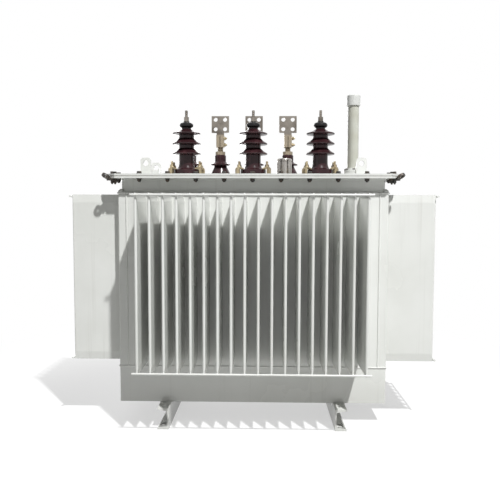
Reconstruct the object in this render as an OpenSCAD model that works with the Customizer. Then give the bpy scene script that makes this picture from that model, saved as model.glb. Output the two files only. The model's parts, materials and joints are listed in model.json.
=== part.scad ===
// Three-phase oil-filled power transformer with a sealed tank of corrugated walls.
// Millimetres. +X runs along the tank, +Y to its back and +Z up, from the ground under its middle.

/* [Tank] */
// Length of the tank body, wall to wall
tank_w = 1015; // [960:5:1200]
// Depth of the tank body, wall to wall
tank_d = 422; // [412:2:600]
// Height of the plain pan below the corrugated walls
pan_h = 138; // [80:1:200]
// Height of the corrugated wall sheets
wall_h = 660; // [400:5:900]
// Height of the plain rim above the corrugated walls
rim_h = 53; // [30:1:80]
// Thickness of the tank's plates
plate_t = 6; // [4:0.5:10]
// Leg of the corner angles
corner_leg = 32; // [20:1:36]
// Outer radius of the tank's upright edges
edge_r = 5; // [1:0.5:8]

/* [Cooling fins] */
// Depth of a fin, from the wall to its nose
fin_depth = 187; // [100:1:260]
// Thickness of a fin over its two faces
fin_t = 10; // [8:0.5:16]
// Distance from fin to fin
fin_pitch = 47.3; // [40:0.1:60]
// Thickness of the folded sheet
sheet_t = 1.5; // [1:0.1:2]
// Height over which each end of a fin is pressed shut
pinch_h = 30; // [16:1:60]
// Height of the welded seam at each end of a fin
seam_h = 8; // [5:0.5:12]
// Plain sheet above the fins
fin_head_gap = 5; // [3:1:40]
// Plain sheet below the fins
fin_foot_gap = 15; // [3:1:40]
// Least plain strip beside the outermost fins of the long walls
front_strip = 60; // [5:1:120]
// Least plain strip beside the outermost fins of the end walls
side_strip = 5; // [3:1:60]

/* [Tie rods] */
// Diameter of the rods across the fin noses
rod_d = 8; // [5:0.5:14]
// Height from a fin's end to the rod's axis
rod_inset = 7; // [4:0.5:40]
// Length of a rod past the outermost fins
rod_past = 12; // [4:1:30]

/* [Flange and cover] */
// Reach of flange and cover beyond the tank walls
flange_over = 42; // [30:1:70]
// Width of the flange inside the tank walls
flange_in = 20; // [10:1:40]
// Thickness of the tank's flange
flange_t = 7; // [6:0.5:16]
// Thickness of the gasket under the cover
gasket_t = 3; // [2:0.5:6]
// Distance of the gasket from the flange's edge
gasket_inset = 2; // [1:0.5:8]
// Thickness of the cover plate
cover_t = 7; // [6:0.5:16]
// Length of the cover's corner cut along the tank
cut_x = 40; // [10:1:60]
// Depth of the cover's corner cut
cut_y = 35; // [10:1:60]

/* [Base channels] */
// Height of the two foot channels
channel_h = 80; // [60:1:140]
// Flange width of the channels
channel_b = 43; // [36:1:60]
// Web thickness of the channels
channel_web = 5; // [4:0.5:8]
// Flange thickness at its tip
channel_tip = 6; // [4:0.5:8]
// Flange thickness at the web
channel_root = 9.5; // [8:0.5:14]
// Radius between web and flanges
channel_fillet = 8; // [4:0.5:10]
// Radius of the flanges' toes
channel_toe = 4; // [2:0.5:4]
// Length of the channels
channel_len = 582; // [480:2:800]
// Distance between the hole lines of the two channels
channel_gauge = 660; // [400:10:820]
// Distance from a channel's back to its hole line
channel_back = 22; // [18:1:26]
// Diameter of the foundation bolt holes
foot_hole_d = 20; // [12:1:24]
// Distance from a channel's end to its holes
foot_hole_inset = 41; // [20:1:120]

/* [High-voltage bushings] */
// Distance from the outer front bushings to the lifting lugs
hv_lug_gap = 160; // [120:5:220]
// Distance of the front row from the tank's front wall
hv_inset = 97; // [80:1:130]
// Diameter of the porcelain foot
hv_foot_d = 98; // [86:1:106]
// Height of the porcelain foot
hv_foot_h = 24; // [14:1:30]
// Height of the flare between foot and trunk
hv_flare_h = 27; // [15:1:40]
// Diameter of the porcelain trunk
hv_trunk_d = 58; // [48:1:64]
// Diameter of the sheds
hv_shed_d = 110; // [96:1:130]
// Number of sheds
hv_sheds = 3; // [1:1:4]
// Height of the lowest shed's rim over the cover
hv_first_shed = 84; // [80:1:110]
// Distance from shed to shed
hv_shed_pitch = 38.5; // [30:0.5:50]
// Diameter of the porcelain head
hv_head_d = 54; // [46:1:60]
// Diameter of the terminal stud
hv_stud_d = 10; // [8:1:14]
// Length of the terminal stud above its nut
hv_stud_free = 25; // [15:1:60]

/* [Bushing clamps] */
// Number of clamps at each high-voltage bushing
clamp_count = 4; // [4:2:6]
// Angle of the outer clamps from the row's line
clamp_angle = 25; // [22:1:36]
// Width of a clamp
clamp_w = 18; // [12:1:22]
// Height of a clamp
clamp_h = 34; // [32:1:60]
// Length of a clamp's toe on the porcelain foot
clamp_toe = 6; // [4:0.5:7]
// Reach of a clamp from the porcelain foot outwards
clamp_reach = 23; // [20:1:32]

/* [Low-voltage bushings] */
// Distance from the neutral bushing to the lifting lug beside it
lv_lug_gap = 147; // [100:1:180]
// Place of the right phase along the tank
lv_right_x = 143; // [120:1:180]
// How much closer the neutral stands than the phases do
lv_neutral_less = 16; // [0:1:20]
// Distance of the back row from the tank's back wall
lv_inset = 97; // [70:1:110]
// Diameter of the skirt at the cover
lv_skirt_d = 92; // [86:1:104]
// Diameter of the porcelain neck
lv_neck_d = 50; // [44:1:60]
// Diameter of the shed
lv_shed_d = 84; // [74:1:100]
// Height of the porcelain
lv_porcelain_h = 102; // [96:1:130]
// Diameter of the stud
lv_stud_d = 22; // [16:1:24]
// Width across the flats of the stud's nut
lv_nut_w = 36; // [30:1:42]
// Height of the nut with its washer
lv_nut_h = 14; // [10:1:20]

/* [Terminal palms] */
// Height of a palm's clamp above the stud's nut
palm_gap = 17; // [4:1:30]
// Width of a palm's clamp
palm_clamp_w = 32; // [30:1:44]
// Height of a palm's clamp
palm_clamp_h = 51; // [40:1:70]
// Clearance between the stud and the clamp's bore
palm_clear = 0.2; // [0.1:0.05:0.5]
// Slit in the clamp's front
palm_slit = 3; // [2:0.5:6]
// Height of the neck under the plate
palm_neck_h = 12; // [6:1:20]
// Width of the palm plate
palm_w = 74; // [66:1:90]
// Height of the palm plate
palm_h = 70; // [66:1:90]
// Thickness of the palm plate
palm_t = 10; // [6:0.5:14]
// Distance from hole to hole in the palm plate
palm_hole_pitch = 40; // [34:1:44]
// Diameter of the palm's holes
palm_hole_d = 17; // [12:0.5:18]

/* [Cover fittings] */
// Place of the relief valve along the tank
valve_x = 125; // [60:1:180]
// Place of the relief valve across the tank
valve_y = 8; // [-20:1:16]
// Diameter of the relief valve's can
valve_d = 61; // [48:1:70]
// Height of the relief valve
valve_h = 77; // [60:1:110]
// Distance of the oil gauge from the tank's end wall
gauge_inset = 104.5; // [80:0.5:160]
// Diameter of the oil gauge's tube
gauge_d = 45; // [36:1:52]
// Diameter of the oil gauge's flanges
gauge_flange_d = 74; // [66:1:84]
// Diameter of the oil gauge's cap
gauge_cap_d = 54; // [50:1:60]
// Height of the oil gauge's cap
gauge_cap_h = 42; // [30:1:60]
// Height of the oil gauge
gauge_h = 330; // [220:5:420]

/* [Lifting lugs and eyes] */
// Distance of the lugs from the tank's end walls
lug_end_inset = 87.5; // [50:0.5:120]
// Distance of the lugs from the tank's long walls
lug_side_inset = 97; // [60:1:120]
// Width of a lug
lug_w = 40; // [36:1:60]
// Height of a lug
lug_h = 70; // [68:1:100]
// Thickness of the lug plates
lug_t = 8; // [6:0.5:14]
// Diameter of a lug's hole
lug_hole_d = 20; // [14:1:26]
// Height of a lug's hole over the cover
lug_hole_z = 48; // [36:1:50]
// Depth of the rib behind a lug
lug_rib = 36; // [20:1:50]
// Outer diameter of the lashing eyes
eye_d = 30; // [26:1:36]
// Diameter of the hole in an eye
eye_hole_d = 15; // [8:1:18]
// Thickness of an eye's strap
eye_t = 8; // [5:0.5:9]
// Width of an eye's strap
eye_w = 24; // [18:1:26]
// Length of an eye's foot under the flange
eye_foot = 26; // [20:1:28]
// Length of an eye's arm to the middle of its hole
eye_arm = 20; // [18:1:28]
// Slope of an eye's arm
eye_tilt = 35; // [20:1:36]

/* [Hidden] */
$fn = 64;
arc_steps = 6;
weld_gap = 0.2;
cut = 1;
edge_round = 3;
shed_lip = 3;
shed_knee_r = 0.45;
shed_knee_z = 0.48;
hv_shed_root = 6;
hv_shed_rise = 22;
hv_neck_rise = 18;
hv_neck_in = 9;
hv_neck_h = 5;
hv_head_round = 10;
hv_knob_r = 12.5;
hv_knob_h = 5;
palm_blind = 6;
lv_washer_more = 4;
lv_washer_t = 3;
lv_skirt_h = 14;
lv_shed_z = 60;
lv_skirt_ease = 6;
lv_cone_out = 8;
lv_cone_drop = 20;
lv_throat = 1;
lv_throat_drop = 6;
lv_brim_out = 5;
lv_brim_rise = 7;
lv_crown_rise = 13;
lv_cap_round = 5;
valve_foot = 6;
valve_foot_h = 8;
valve_neck_h = 5;
valve_round = 5;
valve_groove = 2;
valve_groove_ease = 1;
valve_groove_drop = 13;
gauge_stub_h = 14;
gauge_flange_t = 7.5;
gauge_joint = 1;
gauge_joint_in = 2;
gauge_stub_in = 1;
gauge_collar_h = 8;
gauge_wall = 4;
gauge_foot_h = gauge_stub_h + 2 * gauge_flange_t + gauge_joint + gauge_collar_h;
gauge_cap_top = 5;
gauge_cap_round = 4;
tank_z = channel_h;
wall_z = tank_z + pan_h;
rim_z = wall_z + wall_h;
flange_z = rim_z + rim_h;
gasket_z = flange_z + flange_t;
cover_z = gasket_z + gasket_t;
top_z = cover_z + cover_t;
fin_z = wall_z + fin_foot_gap;
fin_h = wall_h - fin_foot_gap - fin_head_gap;
front_sheet = tank_w - 2 * corner_leg;
side_sheet = tank_d - 2 * corner_leg;
front_fins = 1 + floor((front_sheet - fin_t - 2 * front_strip) / fin_pitch);
side_fins = 1 + floor((side_sheet - fin_t - 2 * side_strip) / fin_pitch);
rod_out = fin_depth + weld_gap + rod_d / 2;
hv_row = tank_d / 2 - hv_inset;
lv_row = tank_d / 2 - lv_inset;
gauge_x = tank_w / 2 - gauge_inset;
lug_x = tank_w / 2 - lug_end_inset;
lug_y = tank_d / 2 - lug_side_inset;
hv_pitch = lug_x - hv_lug_gap;
lv_pitch = (lv_right_x + lug_x - lv_lug_gap + lv_neutral_less) / 3;
hv_rims = [for (k = [0:hv_sheds - 1]) hv_first_shed + k * hv_shed_pitch];
hv_top = hv_rims[hv_sheds - 1];
hv_neck_z = hv_top + hv_neck_rise;
hv_head_z = hv_neck_z + hv_neck_h;
hv_h = hv_head_z + 2 * hv_head_round + hv_knob_h;
hv_nut_h = 17;
hv_nut_share = 1.9;
hv_washer_share = 2.1;
hv_washer_t = 2;
palm_z = lv_porcelain_h + lv_nut_h + palm_gap;
palm_stud_in = palm_clamp_h - palm_blind;
lug_round = 12;
eye_heel = 5;
eye_lift = 1;
eye_toe = 2;
eye_waist = 4;
palm_lip = 8;
claw_round = 12;
claw_nose = 5;
claw_leg = 10;
claw_brow = 0.86;
claw_clear = 1;

WHITE = [0.90, 0.91, 0.89];
PORCELAIN = [0.25, 0.10, 0.10];
GOLD = [0.72, 0.58, 0.32];
TIN = [0.58, 0.55, 0.50];
DARK_STEEL = [0.25, 0.25, 0.24];
RUBBER = [0.10, 0.10, 0.10];
CREAM = [0.87, 0.87, 0.80];
ALUMINIUM = [0.70, 0.71, 0.72];

// Points of an arc around a centre, from one angle to another
function arc(centre, r, from, to, steps = arc_steps) =
  [for (i = [0:steps]) let (a = from + (to - from) * i / steps) centre + r * [cos(a), sin(a)]];

// Rectangle with true round corners
module round_rect(w, d, r) {
  square([w - 2 * r, d], center = true);
  square([w, d - 2 * r], center = true);
  for (x = [-1, 1], y = [-1, 1])
    translate([x * (w / 2 - r), y * (d / 2 - r)]) circle(r);
}

// Outline of flange, gasket and cover: a rectangle with its four corners cut
module cut_rect(inset) {
  a = tank_w / 2 + flange_over - inset;
  b = tank_d / 2 + flange_over - inset;
  polygon([
    [a, b - cut_y], [a - cut_x, b], [cut_x - a, b], [-a, b - cut_y],
    [-a, cut_y - b], [cut_x - a, -b], [a - cut_x, -b], [a, cut_y - b]
  ]);
}

// Rolled channel with tapered flanges, its back at x = 0, drilled through both flanges
module base_channel() {
  root_x = channel_web + channel_fillet;
  root_z = channel_root + channel_fillet;
  difference() {
    rotate([90, 0, 0])
      linear_extrude(channel_len, center = true)
        polygon(concat(
          [[0, 0], [channel_b, 0]],
          arc([channel_b - channel_toe, channel_tip - channel_toe], channel_toe, 0, 90),
          arc([root_x, root_z], channel_fillet, 270, 180),
          arc([root_x, channel_h - root_z], channel_fillet, 180, 90),
          arc([channel_b - channel_toe, channel_h - channel_tip + channel_toe], channel_toe, -90, 0),
          [[channel_b, channel_h], [0, channel_h]]
        ));
    for (y = [-1, 1])
      translate([channel_back, y * (channel_len / 2 - foot_hole_inset), -cut])
        cylinder(d = foot_hole_d, h = channel_h + 2 * cut);
  }
}

module left_base_channel() {
  color(WHITE)
    translate([channel_back - channel_gauge / 2, 0, 0]) mirror([1, 0, 0]) base_channel();
}

module right_base_channel() {
  color(WHITE)
    translate([channel_gauge / 2 - channel_back, 0, 0]) base_channel();
}

// Plain lower part of the tank: a tray of welded plate
module tank_base_pan() {
  color(WHITE)
    translate([0, 0, tank_z])
      difference() {
        linear_extrude(pan_h) round_rect(tank_w, tank_d, edge_r);
        translate([plate_t - tank_w / 2, plate_t - tank_d / 2, plate_t])
          cube([tank_w - 2 * plate_t, tank_d - 2 * plate_t, pan_h]);
      }
}

// Core, windings and oil, which fill the closed tank
module core_and_oil() {
  color(DARK_STEEL)
    translate([plate_t - tank_w / 2, plate_t - tank_d / 2, tank_z + plate_t])
      cube([tank_w - 2 * plate_t, tank_d - 2 * plate_t, pan_h + wall_h + rim_h - plate_t]);
}

// One fold of the wall sheet, grown inwards by inset: a flat pocket with a round nose towards -Y
// and with both ends pressed shut
module fin_fold(inset) {
  t = fin_t / 2 - inset;
  end_t = inset > 0 ? 0 : sheet_t;
  end_z = inset > 0 ? seam_h : 0;
  nose = arc([0, fin_t / 2 - fin_depth], t, 180, 360);
  back = sheet_t + (inset > 0 ? cut : 0);
  intersection() {
    linear_extrude(fin_h) polygon(concat([[t, back], [-t, back]], nose));
    translate([0, back + cut, 0])
      rotate([90, 0, 0])
        linear_extrude(fin_depth + back + 2 * cut)
          polygon(concat(
            [[end_t, end_z], [t, pinch_h], [t, fin_h - pinch_h], [end_t, fin_h - end_z]],
            end_t > 0 ? [[-end_t, fin_h - end_z]] : [],
            [[-t, fin_h - pinch_h], [-t, pinch_h]],
            end_t > 0 ? [[-end_t, end_z]] : []
          ));
  }
}

// Sheet folded into a row of hollow fins, its outer face on y = 0 and the fins towards -Y
module corrugated_wall(width, fins) {
  places = [for (i = [0:fins - 1]) (i - (fins - 1) / 2) * fin_pitch];
  color(WHITE)
    difference() {
      union() {
        translate([-width / 2, 0, wall_z]) cube([width, sheet_t, wall_h]);
        for (x = places) translate([x, 0, fin_z]) fin_fold(0);
      }
      for (x = places) translate([x, 0, fin_z]) fin_fold(sheet_t);
    }
}

module front_corrugated_wall() {
  translate([0, -tank_d / 2, 0]) corrugated_wall(front_sheet, front_fins);
}

module back_corrugated_wall() {
  rotate(180) front_corrugated_wall();
}

module right_corrugated_wall() {
  translate([tank_w / 2, 0, 0]) rotate(90) corrugated_wall(side_sheet, side_fins);
}

module left_corrugated_wall() {
  rotate(180) right_corrugated_wall();
}

// Angles between the corrugated walls
module corner_posts() {
  color(WHITE)
    for (x = [-1, 1], y = [-1, 1])
      translate([0, 0, wall_z])
        linear_extrude(wall_h)
          intersection() {
            difference() {
              round_rect(tank_w, tank_d, edge_r);
              square([tank_w - 2 * plate_t, tank_d - 2 * plate_t], center = true);
            }
            translate([x * (tank_w - corner_leg) / 2, y * (tank_d - corner_leg) / 2])
              square(corner_leg, center = true);
          }
}

// Pair of rods across the noses of a row of fins, at its head and foot
module tie_rods(out, fins) {
  len = (fins - 1) * fin_pitch + fin_t + 2 * rod_past;
  color(WHITE)
    for (z = [fin_z + rod_inset, fin_z + fin_h - rod_inset])
      translate([0, -out - rod_out, z]) rotate([0, 90, 0]) cylinder(d = rod_d, h = len, center = true);
}

module front_tie_rods() {
  tie_rods(tank_d / 2, front_fins);
}

module back_tie_rods() {
  rotate(180) front_tie_rods();
}

module right_tie_rods() {
  rotate(90) tie_rods(tank_w / 2, side_fins);
}

module left_tie_rods() {
  rotate(180) right_tie_rods();
}

// Plain band that closes the tank above its corrugated walls
module tank_rim() {
  color(WHITE)
    translate([0, 0, rim_z])
      linear_extrude(rim_h)
        difference() {
          round_rect(tank_w, tank_d, edge_r);
          square([tank_w - 2 * plate_t, tank_d - 2 * plate_t], center = true);
        }
}

module tank_flange() {
  color(WHITE)
    translate([0, 0, flange_z])
      linear_extrude(flange_t)
        difference() {
          cut_rect(0);
          square([tank_w - 2 * flange_in, tank_d - 2 * flange_in], center = true);
        }
}

module cover_gasket() {
  color(RUBBER)
    translate([0, 0, gasket_z])
      linear_extrude(gasket_t)
        difference() {
          cut_rect(gasket_inset);
          square([tank_w - 2 * flange_in, tank_d - 2 * flange_in], center = true);
        }
}

module cover_plate() {
  color(WHITE) translate([0, 0, cover_z]) linear_extrude(cover_t) cut_rect(0);
}

// Half outline of one shed from its underside to its sloping top, its rim at height z
function shed(trunk, rim, z, top_r, rise) = concat(
  [[trunk, z - hv_shed_root], [rim - 2 * shed_lip, z - shed_lip]],
  arc([rim - shed_lip, z], shed_lip, -90, 60, 4),
  [[top_r + (rim - top_r) * shed_knee_r, z + rise * shed_knee_z], [top_r, z + rise]]
);

// Glazed porcelain of a high-voltage bushing: foot, trunk with sheds, and head
module hv_insulator(i) {
  foot = hv_foot_d / 2;
  trunk = hv_trunk_d / 2;
  head = hv_head_d / 2;
  flare_w = foot - trunk - clamp_toe - claw_clear;
  color(PORCELAIN)
    translate([i * hv_pitch, -hv_row, top_z])
      rotate_extrude()
        polygon(concat(
          [[0, 0], [foot, 0]],
          arc([foot - edge_round, hv_foot_h - edge_round], edge_round, 0, 90, 3),
          [for (a = [0:15:90]) [trunk + flare_w * (1 - sin(a)), hv_foot_h + hv_flare_h * (1 - cos(a))]],
          [for (z = hv_rims, p = z < hv_top
            ? shed(trunk, hv_shed_d / 2, z, trunk, hv_shed_rise)
            : shed(trunk, hv_shed_d / 2, z, head - hv_neck_in, hv_neck_rise)) p],
          [[head - hv_neck_in, hv_head_z]],
          arc([head - hv_head_round, hv_head_z + hv_head_round], hv_head_round, -80, 80, 6),
          arc([hv_knob_r - edge_round, hv_h - edge_round], edge_round, 0, 90, 3),
          [[0, hv_h]]
        ));
}

module hv_insulator_left() {
  hv_insulator(-1);
}

module hv_insulator_middle() {
  hv_insulator(0);
}

module hv_insulator_right() {
  hv_insulator(1);
}

// Cast claws that hold a bushing's foot down: a heel on the cover, a bridge and a toe on the porcelain
module hv_clamps(i) {
  foot = hv_foot_d / 2;
  heel = foot + clamp_reach;
  toe = hv_foot_h + weld_gap;
  color(GOLD)
    translate([i * hv_pitch, -hv_row, top_z])
      for (side = [0, 180], k = [0:clamp_count / 2 - 1])
        rotate(side + clamp_angle * (4 * k / (clamp_count - 2) - 1))
          rotate([90, 0, 0])
            linear_extrude(clamp_w, center = true)
              polygon(concat(
                [[heel, 0]],
                arc([heel - claw_round, clamp_h - claw_round], claw_round, 0, 90),
                arc([foot - clamp_toe + claw_nose, clamp_h * claw_brow - claw_nose], claw_nose, 90, 180),
                [[foot - clamp_toe, toe], [foot - weld_gap, toe], [foot + claw_nose, toe + claw_nose]],
                [[heel - claw_leg, toe + claw_nose], [heel - claw_leg, 0]]
              ));
}

module hv_clamps_left() {
  hv_clamps(-1);
}

module hv_clamps_middle() {
  hv_clamps(0);
}

module hv_clamps_right() {
  hv_clamps(1);
}

// Stud of a high-voltage bushing with its washer and nuts
module hv_terminal(i) {
  color(TIN)
    translate([i * hv_pitch, -hv_row, top_z + hv_h]) {
      cylinder(d = hv_washer_share * hv_stud_d, h = hv_washer_t);
      cylinder(d = hv_nut_share * hv_stud_d, h = hv_nut_h, $fn = 6);
      cylinder(d = hv_stud_d, h = hv_nut_h + hv_stud_free);
    }
}

module hv_terminal_left() {
  hv_terminal(-1);
}

module hv_terminal_middle() {
  hv_terminal(0);
}

module hv_terminal_right() {
  hv_terminal(1);
}

// Place of a low-voltage bushing along the back row: the neutral is number -2, the phases are -1 to 1
function lv_x(i) = lv_right_x + (i - 1) * lv_pitch + (i < -1 ? lv_neutral_less : 0);

// Glazed porcelain of a low-voltage bushing: flared skirt, one shed and a round cap
module lv_insulator(i) {
  skirt = lv_skirt_d / 2;
  neck = lv_neck_d / 2;
  color(PORCELAIN)
    translate([lv_x(i), lv_row, top_z])
      rotate_extrude()
        polygon(concat(
          [[0, 0], [skirt, 0], [skirt, lv_skirt_h]],
          [[skirt - edge_round, lv_skirt_h + lv_skirt_ease]],
          [[neck + lv_cone_out, lv_shed_z - lv_cone_drop], [neck + lv_throat, lv_shed_z - lv_throat_drop]],
          arc([lv_shed_d / 2 - shed_lip, lv_shed_z], shed_lip, -90, 60, 4),
          [[neck + lv_brim_out, lv_shed_z + lv_brim_rise], [neck - lv_throat, lv_shed_z + lv_crown_rise]],
          arc([neck - lv_throat - lv_cap_round, lv_porcelain_h - lv_cap_round], lv_cap_round, 0, 90, 4),
          [[0, lv_porcelain_h]]
        ));
}

module lv_insulator_neutral() {
  lv_insulator(-2);
}

module lv_insulator_left() {
  lv_insulator(-1);
}

module lv_insulator_middle() {
  lv_insulator(0);
}

module lv_insulator_right() {
  lv_insulator(1);
}

// Stud of a low-voltage bushing with its nut, long enough for a palm's clamp
module lv_stud(i) {
  color(TIN)
    translate([lv_x(i), lv_row, top_z + lv_porcelain_h]) {
      cylinder(d = lv_nut_w + lv_washer_more, h = lv_washer_t);
      cylinder(d = lv_nut_w / cos(30), h = lv_nut_h, $fn = 6);
      cylinder(d = lv_stud_d, h = lv_nut_h + palm_gap + palm_stud_in - cut);
    }
}

module lv_stud_neutral() {
  lv_stud(-2);
}

module lv_stud_left() {
  lv_stud(-1);
}

module lv_stud_middle() {
  lv_stud(0);
}

module lv_stud_right() {
  lv_stud(1);
}

// Terminal palm: a slit clamp on the stud, a neck and a plate with four holes
module lv_palm(i) {
  w = palm_clamp_w;
  bore_d = lv_stud_d + 2 * palm_clear;
  plate_z = palm_clamp_h + palm_neck_h;
  color(TIN)
    translate([lv_x(i), lv_row, top_z + palm_z])
      difference() {
        union() {
          translate([-w / 2, -w / 2 - palm_lip, 0]) cube([w, w + palm_lip, palm_clamp_h]);
          translate([-w / 2, -palm_t / 2, palm_clamp_h]) cube([w, palm_t, palm_neck_h + palm_h / 2]);
          translate([-palm_w / 2, -palm_t / 2, plate_z]) cube([palm_w, palm_t, palm_h]);
        }
        translate([0, 0, -cut]) cylinder(d = bore_d, h = palm_stud_in + cut);
        translate([-palm_slit / 2, -w, -cut]) cube([palm_slit, w, palm_stud_in + cut]);
        for (x = [-1, 1], z = [-1, 1])
          translate([x * palm_hole_pitch / 2, 0, plate_z + palm_h / 2 + z * palm_hole_pitch / 2])
            rotate([90, 0, 0]) cylinder(d = palm_hole_d, h = palm_t + 2 * cut, center = true);
      }
}

module lv_palm_left() {
  lv_palm(-1);
}

module lv_palm_middle() {
  lv_palm(0);
}

module lv_palm_right() {
  lv_palm(1);
}

// Pressure relief valve: a flanged can with a rolled top
module relief_valve() {
  r = valve_d / 2;
  groove_z = valve_h - valve_groove_drop;
  color(ALUMINIUM)
    translate([valve_x, valve_y, top_z])
      rotate_extrude()
        polygon(concat(
          [[0, 0], [r + valve_foot, 0], [r + valve_foot, valve_foot_h], [r - valve_round, valve_foot_h]],
          [[r - valve_round, valve_foot_h + valve_neck_h], [r, valve_foot_h + valve_neck_h]],
          [[r, groove_z - valve_groove_ease], [r - valve_groove, groove_z]],
          [[r - valve_groove, groove_z + valve_groove], [r, groove_z + valve_groove + valve_groove_ease]],
          arc([r - valve_round, valve_h - valve_round], valve_round, 0, 90, 5),
          [[0, valve_h]]
        ));
}

// Foot of the oil gauge: a pipe stub with two bolted flanges and a collar
module oil_gauge_base() {
  r = gauge_flange_d / 2;
  collar = gauge_d / 2 + gauge_wall;
  stub = collar - gauge_stub_in;
  seal = r - gauge_joint_in;
  joint_z = gauge_stub_h + gauge_flange_t;
  flange_top = gauge_foot_h - gauge_collar_h;
  color(CREAM)
    translate([gauge_x, 0, top_z])
      rotate_extrude()
        polygon([
          [0, 0], [stub, 0], [stub, gauge_stub_h], [r, gauge_stub_h], [r, joint_z],
          [seal, joint_z], [seal, joint_z + gauge_joint], [r, joint_z + gauge_joint], [r, flange_top],
          [collar, flange_top], [collar, gauge_foot_h], [0, gauge_foot_h]
        ]);
}

module oil_gauge_tube() {
  color(CREAM)
    translate([gauge_x, 0, top_z + gauge_foot_h])
      cylinder(d = gauge_d, h = gauge_h - gauge_foot_h - gauge_cap_top);
}

module oil_gauge_cap() {
  r = gauge_cap_d / 2;
  bore = gauge_d / 2 + weld_gap;
  roof = gauge_cap_h - gauge_cap_top;
  color(WHITE)
    translate([gauge_x, 0, top_z + gauge_h - gauge_cap_h])
      rotate_extrude()
        polygon(concat(
          [[bore, 0], [r, 0]],
          arc([r - gauge_cap_round, gauge_cap_h - gauge_cap_round], gauge_cap_round, 0, 90, 5),
          [[0, gauge_cap_h], [0, roof], [bore, roof]]
        ));
}

// Plate of a lifting lug with round upper corners and its hole
module lug_plate() {
  difference() {
    union() {
      translate([-lug_w / 2, 0]) square([lug_w, lug_h - lug_round]);
      translate([lug_round - lug_w / 2, 0]) square([lug_w - 2 * lug_round, lug_h]);
      for (x = [-1, 1]) translate([x * (lug_w / 2 - lug_round), lug_h - lug_round]) circle(lug_round);
    }
    translate([0, lug_hole_z]) circle(d = lug_hole_d);
  }
}

// Four lifting lugs on the cover: an upright plate with a round hole and a rib behind it
module lifting_lugs() {
  color(WHITE)
    for (x = [-1, 1], y = [-1, 1])
      translate([x * lug_x, y * lug_y, top_z])
        mirror([x > 0 ? 1 : 0, 0, 0])
          mirror([0, y > 0 ? 1 : 0, 0]) {
            rotate([90, 0, 0]) linear_extrude(lug_t, center = true) lug_plate();
            translate([lug_w / 2, lug_t / 2, 0])
              rotate([0, -90, 0])
                linear_extrude(lug_t)
                  polygon([[0, 0], [lug_hole_z, 0], [lug_hole_z, lug_t], [lug_t, lug_rib], [0, lug_rib]]);
          }
}

// Four lashing eyes at the cut corners of the flange: a strap under the flange, bent up to a ring
module lashing_eyes() {
  color(DARK_STEEL)
    for (x = [0, 1], y = [0, 1])
      mirror([x, 0, 0])
        mirror([0, y, 0])
          translate([(tank_w - cut_x) / 2 + flange_over, (tank_d - cut_y) / 2 + flange_over, flange_z])
            rotate(atan2(cut_x, cut_y)) {
              translate([-eye_foot, -eye_w / 2, -eye_t])
                cube([eye_foot + eye_heel + eye_toe, eye_w, eye_t]);
              translate([eye_heel, 0, eye_lift - eye_t])
                rotate([0, -eye_tilt, 0])
                  linear_extrude(eye_t)
                    difference() {
                      union() {
                        translate([0, (eye_waist - eye_w) / 2]) square([eye_arm, eye_w - eye_waist]);
                        translate([eye_arm, 0]) circle(d = eye_d);
                      }
                      translate([eye_arm, 0]) circle(d = eye_hole_d);
                    }
            }
}

left_base_channel();
right_base_channel();
tank_base_pan();
core_and_oil();
front_corrugated_wall();
back_corrugated_wall();
left_corrugated_wall();
right_corrugated_wall();
corner_posts();
front_tie_rods();
back_tie_rods();
left_tie_rods();
right_tie_rods();
tank_rim();
tank_flange();
cover_gasket();
cover_plate();
hv_insulator_left();
hv_insulator_middle();
hv_insulator_right();
hv_clamps_left();
hv_clamps_middle();
hv_clamps_right();
hv_terminal_left();
hv_terminal_middle();
hv_terminal_right();
lv_insulator_neutral();
lv_insulator_left();
lv_insulator_middle();
lv_insulator_right();
lv_stud_neutral();
lv_stud_left();
lv_stud_middle();
lv_stud_right();
lv_palm_left();
lv_palm_middle();
lv_palm_right();
relief_valve();
oil_gauge_base();
oil_gauge_tube();
oil_gauge_cap();
lifting_lugs();
lashing_eyes();
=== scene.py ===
import json
import math

import bmesh
import bpy
from bpy.props import FloatProperty, FloatVectorProperty, IntProperty, PointerProperty
from mathutils import Matrix, Vector


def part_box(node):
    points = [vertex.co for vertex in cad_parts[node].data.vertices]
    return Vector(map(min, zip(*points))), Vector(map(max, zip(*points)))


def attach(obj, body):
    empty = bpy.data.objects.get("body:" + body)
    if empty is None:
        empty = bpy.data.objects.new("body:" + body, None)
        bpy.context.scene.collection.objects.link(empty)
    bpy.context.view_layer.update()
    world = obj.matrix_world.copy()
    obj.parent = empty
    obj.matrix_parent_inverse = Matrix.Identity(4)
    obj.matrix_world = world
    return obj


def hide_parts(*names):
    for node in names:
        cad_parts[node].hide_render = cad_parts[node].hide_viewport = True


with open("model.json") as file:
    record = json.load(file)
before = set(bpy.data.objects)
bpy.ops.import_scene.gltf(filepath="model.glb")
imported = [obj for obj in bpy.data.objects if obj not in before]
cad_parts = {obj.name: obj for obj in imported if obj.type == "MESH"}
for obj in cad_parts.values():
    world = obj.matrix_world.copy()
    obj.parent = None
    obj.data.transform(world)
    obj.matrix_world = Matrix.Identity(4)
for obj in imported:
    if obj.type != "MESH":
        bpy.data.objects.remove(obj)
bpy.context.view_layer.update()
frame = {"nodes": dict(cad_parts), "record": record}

bl_info = {
    "name": "Power transformer dressing",
    "version": (1, 0, 0),
    "blender": (4, 5, 0),
    "location": "View3D > Sidebar > Transformer",
    "description": "Dresses the solids of an oil-filled power transformer with finishes and small fittings",
    "category": "Object",
}

COVER_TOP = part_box("cover_plate")[1].z
COVER_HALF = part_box("cover_plate")[1]
FLANGE_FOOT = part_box("tank_flange")[0].z
PAN_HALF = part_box("tank_base_pan")[1]
RIM_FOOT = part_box("tank_rim")[0].z
PHASES = ("left", "middle", "right")
UP = Vector((0, 0, 1))
DOWN = Vector((0, 0, -1))
ALONG = Vector((1, 0, 0))
SHARED = {}

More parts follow.
